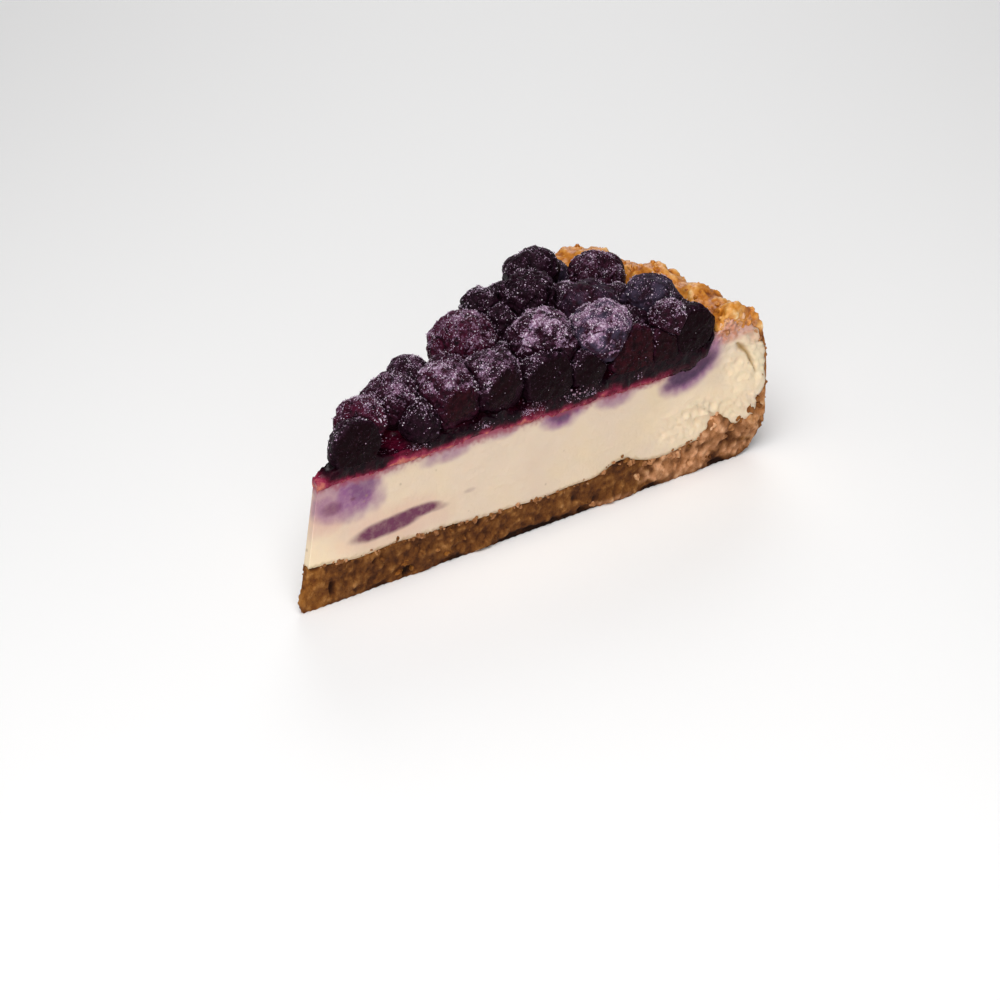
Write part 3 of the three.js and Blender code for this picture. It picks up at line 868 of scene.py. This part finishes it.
def climbUp(points):
    # the juice's skin rises where it meets a berry
    rise = np.zeros(len(points))
    for berry in berries:
        x, y, z = berry["at"]
        foot = math.sqrt(max(berry["radius"] ** 2 - (z - juiceTop) ** 2, 0.1))
        away = np.hypot(points[:, 0] - x, points[:, 1] - y) - foot
        rise = np.maximum(rise, np.exp(-np.maximum(away, 0) / 0.8))
    return rise


def makeJuice():
    sides = np.concatenate([[-1], np.linspace(-0.985, 0.985, 91), [1]])

    def shape(share, upward, side):
        section = fillingCrown(share, side)
        rising = smooth(section[:, 0], *(cakeRadius - np.array(juiceLooks["upTheRim"])))
        section[:, 0] -= 0.6 * rising
        nearTip = smooth(section[:, 0], *juiceLooks["nearTip"])
        thickness = (sliceShape["juiceThickness"] + 0.1) * (0.5 + 0.5 * nearTip) - 1.3 * rising
        flat = place(section[:, 0], section[:, 1], side)
        wave = 0.3 * lumps(flat, 3.2, 1.0) + 0.15 * lumps(flat, 1.4, 4.0)
        climb = juiceLooks["climb"] * climbUp(flat) * (1 - rising)
        height = section[:, 1] + 0.05 + upward * (thickness + wave + climb)
        cut = (np.abs(side) > 0.999).astype(float)
        runs = 0.5 + 0.8 * lumps(flat, 5.5, 7.0) + 0.6 * lumps(flat, 1.7, 2.0) + 0.5 * lumps(flat, 0.7, 5.0)
        drip = juiceLooks["drip"] * np.clip(runs, -0.3, 1.6) + (side < 0) * juiceRun(section[:, 0])
        height -= cut * (1 - upward) ** 2 * drip
        # at a cut it stands up against the berries in an uneven lip
        lip = 0.5 + 1.3 * lumps(flat, 2.6, 8.0) + 0.5 * lumps(flat, 1.0, 3.0)
        height += cut * upward * np.clip(lip, 0, 1.6)
        bulge = juiceLooks["proud"] * np.sin(np.pi * np.clip(upward, 0, 1)) + 0.12
        onSide = np.stack([flat[:, 0], flat[:, 1], height], 1)
        bulge += 0.3 * lumps(onSide, 2.2, 3.0) + 0.15 * lumps(onSide, 0.9, 6.0)
        return place(section[:, 0], height, side, cut * bulge * (0.3 + 0.7 * nearTip))

    juice = foldedBox("setBerryJuice", sharesOf([420, 18, 18, 16, 12]), 9, sides, shape)
    points = pointsOf(juice)
    along, depth = onCut(points, -1)
    cut = 1 - smooth(np.minimum(depth, onCut(points, 1)[1]), 0.0, 0.5)
    above = points[:, 2] - fillingTop + juiceRun(along)
    fringe = above + 0.7 * lumps(points, 3.0, 2.0) + 0.4 * lumps(points, 1.1, 7.0)
    edgeThin = 0.4 * (1 - smooth(along, 94, 99))
    rimDark = 1 - 0.6 * smooth(along, 95, 100)
    thin = 0.42 * rimDark * (1 - smooth(fringe, 0.6, 2.0)) + edgeThin * (1 - smooth(fringe, -0.2, 0.9))
    thin = cut * (0.04 + thin)
    thin += cut * spotShare(along, points[:, 2], juiceLooks["bright"], 0.4 * lumps(points, 2.0, 5.0))
    top = 0.1 + 0.25 * smooth(lumps(points, 7.0, 5.0), 0.0, 0.4)
    thin = np.maximum(np.minimum(thin, 0.9), (1 - cut) * top)
    tip = (0.95 - 0.12 * above) * (1 - smooth(along + 2 * lumps(points, 2.4, 3.0), 7, 12))
    remember(juice, "thin", np.clip(np.maximum(thin, tip), 0, 1))
    crystals = sum(np.exp(-(((along - (a + b) / 2) / (b - a)) ** 2)) for a, b in sugarLooks["clumps"])
    crystals = 0.6 * cut * crystals * smooth(above, 0.8, 2.0)
    patches = np.clip(0.4 + 1.2 * lumps(points, 4.0, 9.0), 0, 1) * (1 - cut)
    remember(juice, "sugar", np.clip(patches + crystals, 0, 1))
    return finishPiece(juice, "juice", ["berry_juice"])


makeJuice()
print("juice made")

goldenAngle = math.pi * (3 - math.sqrt(5))  # scatters directions evenly


def pointing(height, turn):
    # the direction at a height on the unit ball, turned round its axis
    level = math.sqrt(1 - height * height)
    return np.array([level * math.cos(turn), level * math.sin(turn), height])


def crownOf(berry, number):
    if berry["crown"]:
        return np.array(berry["crown"]) / np.linalg.norm(berry["crown"])
    return pointing(0.85 * math.sin(1.7 * number + 0.6), goldenAngle * number)


def pressingPlanes(berry, number):
    # each is a direction and its distance from the berry's centre, and the knife's comes apart
    centre = np.array(berry["at"], float)
    planes, knife = [], None
    for other in berries:
        towards = np.array(other["at"], float) - centre
        distance = np.linalg.norm(towards)
        if other is berry or distance > berry["radius"] + other["radius"] + berryLooks["touch"]:
            continue
        middle = (distance**2 + berry["radius"] ** 2 - other["radius"] ** 2) / (2 * distance)
        planes.append((towards / distance, middle - berryLooks["touch"] / 2))
    planes.append((np.array([0, 0, -1.0]), centre[2] - juiceTop))
    reach = math.hypot(centre[0], centre[1])
    rimSlope = np.array([0.69 * centre[0] / reach, 0.69 * centre[1] / reach, -0.72])
    planes.append((rimSlope, 0.69 * (cakeRadius - 18.8 - reach) + 0.72 * (centre[2] - juiceTop)))
    for side in (-1, 1):
        normal = np.array([-math.sin(halfAngle), side * math.cos(halfAngle), 0])
        room = cutOffset - centre @ normal
        if berry["cut"] and side < 0:
            knife = (normal, room + berryLooks["cutProud"])
        else:
            planes.append((normal, room + berryLooks["overhang"]))
    for i in range(berryLooks["flats"]):
        normal = pointing(1 - (2 * i + 1) / berryLooks["flats"], goldenAngle * i + 1.3 * number)
        planes.append((normal, berry["radius"] * (0.925 + 0.06 * math.sin(5.1 * i + 2.7 * number))))
    return planes, knife


def reachOf(directions, plane):
    # how far a plane lets each direction go
    normal, distance = plane
    facing = directions @ normal
    return np.where(facing > 0.02, distance / np.maximum(facing, 0.02), 1e3)


def sphereDirections(subdivisions):
    bm = bmesh.new()
    bmesh.ops.create_icosphere(bm, subdivisions=subdivisions, radius=1)
    directions = np.array([v.co[:] for v in bm.verts])
    faces = [[v.index for v in f.verts] for f in bm.faces]
    bm.free()
    return directions / np.linalg.norm(directions, axis=1)[:, None], faces


def creases(points, size, seed, width):
    return 1 - smooth(np.abs(lumps(points, size, seed)), 0.0, width)


def makeBerry(number, berry, directions, faces):
    centre = np.array(berry["at"], float)
    crown = crownOf(berry, number)
    lean = directions @ crown
    squash = berryLooks["flattening"] ** -2 - 1
    skin = berryLooks["plump"] * berry["radius"] / np.sqrt(1 + squash * lean**2)
    fromCrown = np.arccos(np.clip(lean, -1, 1))
    sideways = np.cross(crown, [0.31, 0.52, 0.8])
    sideways /= np.linalg.norm(sideways)
    around = np.arctan2(directions @ np.cross(crown, sideways), directions @ sideways)
    pit = -berryLooks["crownPit"] * np.exp(-((fromCrown / 0.24) ** 2))
    scallops = 1 + 0.35 * np.cos(5 * around + number)  # the five points of the crown's collar
    collar = 0.05 * scallops * np.exp(-(((fromCrown - 0.4) / 0.1) ** 2))
    seeds = directions * berry["radius"] + number * 17.3
    # thawed skin sinks in soft hollows and puckers into creases
    deepCrease = creases(seeds, 4.5, 9.0, 0.1) * smooth(lumps(seeds, 7.0, 3.0), -0.3, 0.2)
    fineCrease = creases(seeds, 2.1, 4.0, 0.14) * smooth(lumps(seeds, 3.0, 6.0), -0.2, 0.3)
    wrinkles = 0.065 * lumps(seeds, 3.2) + 0.042 * lumps(seeds, 1.5, 5.0) + 0.018 * lumps(seeds, 0.7, 2.0)
    wrinkles = berry["crumple"] * (wrinkles - 0.05 * deepCrease - 0.035 * fineCrease)
    skin = skin * (1 + pit + collar + 0.05 * lumps(seeds, 5.0, 2.0))
    sharpness = berryLooks["sharpness"]
    planes, knife = pressingPlanes(berry, number)
    total = skin**-sharpness + sum(reachOf(directions, plane) ** -sharpness for plane in planes)
    reach = total ** (-1 / sharpness) * (1 + wrinkles)
    onKnife = np.zeros(len(directions))
    fleshStreakAndGlint = np.zeros(len(directions))
    if knife:
        limit = reachOf(directions, knife)
        onKnife = smooth(reach / limit + 0.05 * lumps(seeds, 1.6, 6.0), 0.99, 1.07)
        reach = (reach**-18 + limit**-18) ** (-1 / 18)
        # flesh torn in faint streaks that run from the middle of the cut to its edge, raised as ridges and
        # painted grey as a highlight on them
        spread = directions * reach[:, None]
        aside = spread @ np.cross(knife[0], [0, 0, 1.0])
        outFrom = np.hypot(aside, spread[:, 2])
        turn = np.arctan2(spread[:, 2], aside) + 0.5 * lumps(spread, 3.0, 5.0)
        spots = np.stack([2.2 * np.cos(turn), 2.2 * np.sin(turn), 0.25 * outFrom + number], 1)
        torn = smooth(lumps(spread, 4.0, 2.0 + number), -0.1, 0.3)
        fleshStreakAndGlint = 0.25 + 0.9 * lumps(spots, 0.5) + 0.5 * lumps(spots, 0.24, 3.0)
        fleshStreakAndGlint = berry["fibreAndGlint"] * torn * np.clip(fleshStreakAndGlint, 0, 1)
    points = centre + directions * reach[:, None]
    if knife:
        swell = 0.45 * (1 - (outFrom / berry["radius"]) ** 2) + 0.25 * lumps(seeds, 3.0, 1.0)
        points = points + np.outer(onKnife * (0.35 * fleshStreakAndGlint + swell + 0.12 * lumps(seeds, 1.3)), knife[0])
    piece = toObject(f"berry{number + 1:02d}", points, faces)
    normals = normalsOf(piece)
    patchy = 0.65 + 0.7 * lumps(points, 3.4, 4.0) + 0.35 * lumps(points, 1.2, 1.0)
    onTop = smooth(normals[:, 2], -0.25, 0.85)
    dusting = berry["sugar"] * onTop * np.clip(patchy, 0, 1.4) * (1 - 0.93 * onKnife)
    remember(piece, "sugar", np.clip(dusting, 0, 1.2))
    remember(piece, "knife", onKnife)
    remember(piece, "fleshStreakAndGlint", fleshStreakAndGlint)
    remember(piece, "ruddy", np.full(len(points), berry["ruddy"]))
    remember(piece, "bloom", berry["bloom"] * (1 - onKnife))
    finishPiece(piece, "berry", [f"berry_{number + 1:02d}"])
    return points, normals, dusting


plainSphere = sphereDirections(5)
fineSphere = sphereDirections(6)


def makeBerries():
    dusted = []
    for number, berry in enumerate(berries):
        isFine = berry["cut"] or berry["radius"] >= berryLooks["fineFrom"]
        sphere = fineSphere if isFine else plainSphere
        points, normals, dusting = makeBerry(number, berry, *sphere)
        dusted.append((points, normals, dusting * (0.25 if isFine else 1)))
    return [np.concatenate(values) for values in zip(*dusted)]


dusted = makeBerries()
print("berries made")


octahedron = np.array([[1, 0, 0], [-1, 0, 0], [0, 1, 0], [0, -1, 0], [0, 0, 1], [0, 0, -1]], float)
octahedronFaces = [[0, 2, 4], [2, 1, 4], [1, 3, 4], [3, 0, 4], [2, 0, 5], [1, 2, 5], [3, 1, 5], [0, 3, 5]]


def turnedAtRandom(points, draw):
    turn = draw.uniform(0, 2 * math.pi)
    axis = Vector(draw.normal(0, 1, 3)).normalized()
    return points @ np.array(Matrix.Rotation(turn, 3, axis)).T


def facesOfCopies(faces, pointCount, copies):
    return [[v + pointCount * i for v in face] for i in range(copies) for face in faces]


def makeSugar():
    draw = np.random.default_rng(41)
    where, facing, dusting = dusted
    cluster = smooth(lumps(where, 1.9, 8.0), -0.25, 0.45)
    weight = dusting * (0.2 + cluster) * smooth(facing[:, 2], -0.6, 0.5)
    chosen = draw.choice(len(where), sugarLooks["grains"], p=weight / weight.sum())
    centres = where[chosen] + draw.normal(0, sugarLooks["scatter"], (len(chosen), 3)) + facing[chosen] * 0.02
    for start, end in sugarLooks["clumps"]:
        count = int(sugarLooks["clumpGrains"] * (end - start))
        x = draw.uniform(start, end, count) + draw.normal(0, 0.4, count)
        z = juiceTop - 0.9 - juiceRun(x) + np.abs(draw.normal(0, 0.7, count))
        centres = np.concatenate([centres, place(x, z, -1, draw.normal(0.15, 0.25, count))])
    spread = sugarLooks["largest"] - sugarLooks["smallest"]
    sizes = sugarLooks["smallest"] + spread * draw.random(len(centres)) ** 2.5
    sizes[sugarLooks["grains"] :] *= 0.75
    points, tints = [], []
    for i, (centre, size) in enumerate(zip(centres, sizes)):
        stretched = octahedron * size * draw.uniform(0.7, 1.2, 3)
        points.append(turnedAtRandom(stretched, draw) + centre)
        tints += [draw.random() * (1.0 if i < sugarLooks["grains"] else 0.6)] * len(octahedron)
    faces = facesOfCopies(octahedronFaces, len(octahedron), len(centres))
    sugar = toObject("icingSugarGrains", np.concatenate(points), faces, flat=True)
    remember(sugar, "tint", tints)
    return finishPiece(sugar, "sugar")


makeSugar()
print("sugar sifted")


crumbLooks = {
    "count": 300,
    "seam": 240,  # on the lines between base and filling
    "seamEnds": (3, 106),  # mm from the cake's middle
    "smallest": 0.2,  # mm radius
    "largest": 0.9,
    # lumps of crumb on the near cut: distance from the cake's middle, height, radius and how tan they are
    "edge": [
        (122.4, 27.8, 0.9, 0.6), (124.0, 25.2, 0.6, 0.3), (123.2, 18.5, 0.7, 0.2), (124.2, 16.4, 0.7, 0.2),
        (119.5, 30.8, 0.8, 0.6), (121.5, 30.2, 0.7, 0.6), (116.6, 33.6, 0.9, 0.8), (113.4, 32.2, 0.8, 0.9),
        (118.6, 33.0, 0.8, 0.7), (124.0, 21.5, 0.5, 0.2), (121.6, 13.6, 1.2, 0.1), (119.8, 11.2, 1.7, 0.2),
        (117.0, 9.4, 1.8, 0.1), (114.4, 8.2, 1.5, 0.4), (122.8, 11.0, 1.5, 0.1), (111.6, 8.8, 1.7, 0.9),
        (109.2, 10.6, 2.0, 1.0), (107.2, 8.2, 1.5, 0.9), (110.8, 12.2, 1.3, 1.0), (112.4, 6.4, 1.3, 0.8),
        (113.5, 35.2, 0.9, 1.0), (115.5, 35.9, 1.0, 1.0), (117.6, 35.2, 0.9, 1.0), (119.4, 33.9, 0.9, 0.9),
        (116.4, 34.5, 0.8, 1.0), (112.2, 34.0, 0.9, 1.0), (120.7, 32.3, 0.8, 0.8), (114.6, 34.4, 0.7, 1.0),
        (96.0, 3.4, 1.6, 0.8), (92.4, 6.6, 1.2, 0.6), (99.8, 6.2, 1.3, 0.7), (88.3, 4.2, 1.1, 0.5),
        (27.3, 3.4, 1.1, 0.0), (30.2, 4.4, 1.2, 0.1), (32.6, 2.4, 1.1, 0.0), (35.2, 4.0, 0.9, 0.1),
        (29.0, 1.6, 0.9, 0.0), (37.6, 2.2, 0.8, 0.0), (25.4, 1.7, 0.8, 0.0), (83.0, 1.2, 1.1, 0.6),
        (79.4, 1.0, 0.9, 0.7), (76.2, 1.1, 0.8, 0.6), (86.2, 8.2, 1.1, 0.4), (103.4, 3.0, 1.4, 0.7),
    ],
}


def makeCrumbs(crust):
    # crumbs that broke loose and stuck to the crust
    draw = np.random.default_rng(7)
    where, facing = pointsOf(crust), normalsOf(crust)
    golden = np.empty(len(where), np.float32)
    crust.data.attributes["golden"].data.foreach_get("value", golden)
    outside = smooth(where[:, 2], 0.8, 2.5) * (0.35 + 0.3 * golden)
    underCream = (facing[:, 2] > 0.5) & (where[:, 2] < 20)
    behindCream = (np.hypot(where[:, 0], where[:, 1]) < 106) & (where[:, 2] > 12)
    weight = outside * smooth(facing[:, 2], -0.7, 0.0) * ~(underCream | behindCream)
    chosen = draw.choice(len(where), crumbLooks["count"], p=weight / weight.sum())
    spread = crumbLooks["largest"] - crumbLooks["smallest"]
    sizes = crumbLooks["smallest"] + spread * draw.random(len(chosen)) ** 3
    centres = where[chosen] - facing[chosen] * (0.15 * sizes)[:, None]
    edge, edgeHeight, edgeSize, edgeTan = np.array(crumbLooks["edge"]).T
    atEdge = place(edge, edgeHeight, -1, -0.55 * edgeSize)
    seam = draw.uniform(*crumbLooks["seamEnds"], crumbLooks["seam"])
    seamSide = draw.choice([-1.0, 1.0], len(seam))
    seamHeight = crustHeight + baseUnevenness(seam, seamSide) + draw.normal(0, 0.4, len(seam))
    centres = np.concatenate([centres, atEdge, place(seam, seamHeight, seamSide, -0.1)])
    sizes = np.concatenate([sizes, edgeSize, 0.2 + 0.6 * draw.random(len(seam)) ** 2])
    goldens = np.concatenate([golden[chosen], np.full(len(edge), 0.3), np.full(len(seam), 0.1)])
    tans = np.concatenate([np.zeros(len(chosen)), edgeTan, draw.uniform(0, 0.7, len(seam))])
    directions, crumbFaces = sphereDirections(3)
    points, grainToneAndPaintedShade = [], []
    for i, (centre, size) in enumerate(zip(centres, sizes)):
        seeds = directions + 3.7 * i
        knobs = 1 + 0.55 * lumps(seeds, 0.9) + 0.3 * lumps(seeds, 0.4)
        stretched = directions * (knobs * size)[:, None] * draw.uniform(0.6, 1.1, 3)
        points.append(turnedAtRandom(stretched, draw) + centre)
        # each crumb's tone: real random tone, lighter for tan crumbs, and painted highlight on the tops of
        # its knobs
        grainToneAndPaintedShade += (draw.uniform(0.3, 0.6) + 0.25 * (tans[i] > 0.9) + 0.5 * (knobs - 1)).tolist()
    faces = facesOfCopies(crumbFaces, len(directions), len(centres))
    crumbs = toObject("looseCrumbs", np.concatenate(points), faces)
    moved = pointsOf(crumbs)
    moved[:, 2] = np.maximum(moved[:, 2], 0.02)
    setPoints(crumbs, moved)
    remember(crumbs, "grainToneAndPaintedShade", np.clip(grainToneAndPaintedShade, 0, 1))
    remember(crumbs, "golden", np.repeat(goldens, len(directions)))
    remember(crumbs, "tan", np.repeat(tans, len(directions)))
    return finishPiece(crumbs, "crumb")


makeCrumbs(crust)
print("crumbs scattered")


viewFromPhoto = {
    "place": (-378.1, -422.4, 344.7),  # mm from the middle of the whole cake
    "forward": (0.6292, 0.6026, -0.4909),
    "roll": math.radians(-1.73),
    "lens": 113.76,
}
lightLooks = {
    "key": {"from": (-0.35, -0.25, 1.0), "distance": 0.7, "size": 0.6, "power": 4.1},
    "fill": {"from": (-0.9, -0.8, 0.45), "distance": 0.9, "size": 0.8, "power": 3.0},
    "back": {"from": (0.8, 0.7, 0.6), "distance": 0.8, "size": 0.5, "power": 1.3},
    "sky": "#F1F3F7",
    "skyStrength": 0.17,
}


def makeFloor():
    bpy.ops.mesh.primitive_plane_add(size=8, location=(0, 0, 0))
    floor = bpy.context.object
    floor.name = "paleFloor"
    material = startMaterial("paleFloorPaint", Base_Color="#F8F7F6", Roughness=0.55)[0]
    floor.data.materials.append(material)


def makeLights():
    for name in ("key", "fill", "back"):
        looks = lightLooks[name]
        data = bpy.data.lights.new(name + "Light", "AREA")
        data.shape = "DISK"
        data.size = looks["size"]
        data.energy = looks["power"]
        light = bpy.data.objects.new(name + "Light", data)
        towards = Vector(looks["from"]).normalized()
        light.location = towards * looks["distance"]
        light.rotation_mode = "QUATERNION"
        light.rotation_quaternion = towards.to_track_quat("Z", "Y")
        bpy.context.scene.collection.objects.link(light)
    world = bpy.data.worlds.new("softStudio")
    world.use_nodes = True
    background = world.node_tree.nodes["Background"]
    background.inputs["Color"].default_value = toLinear(lightLooks["sky"])
    background.inputs["Strength"].default_value = lightLooks["skyStrength"]
    bpy.context.scene.world = world
    bpy.context.scene.view_settings.view_transform = "Standard"  # keeps the dark berries dark


def makeCamera():
    data = bpy.data.cameras.new("photoView")
    data.lens = viewFromPhoto["lens"]
    data.sensor_width = 36
    data.clip_start = 0.01
    camera = bpy.data.objects.new("photoView", data)
    camera.location = Vector(((np.array(viewFromPhoto["place"]) + shift) * mm).tolist())
    aim = Vector(viewFromPhoto["forward"]).to_track_quat("-Z", "Y")
    camera.rotation_mode = "QUATERNION"
    camera.rotation_quaternion = aim @ Matrix.Rotation(viewFromPhoto["roll"], 3, "Z").to_quaternion()
    bpy.context.scene.collection.objects.link(camera)
    bpy.context.scene.camera = camera


makeFloor()
makeLights()
makeCamera()
print("stage, lights and camera set")
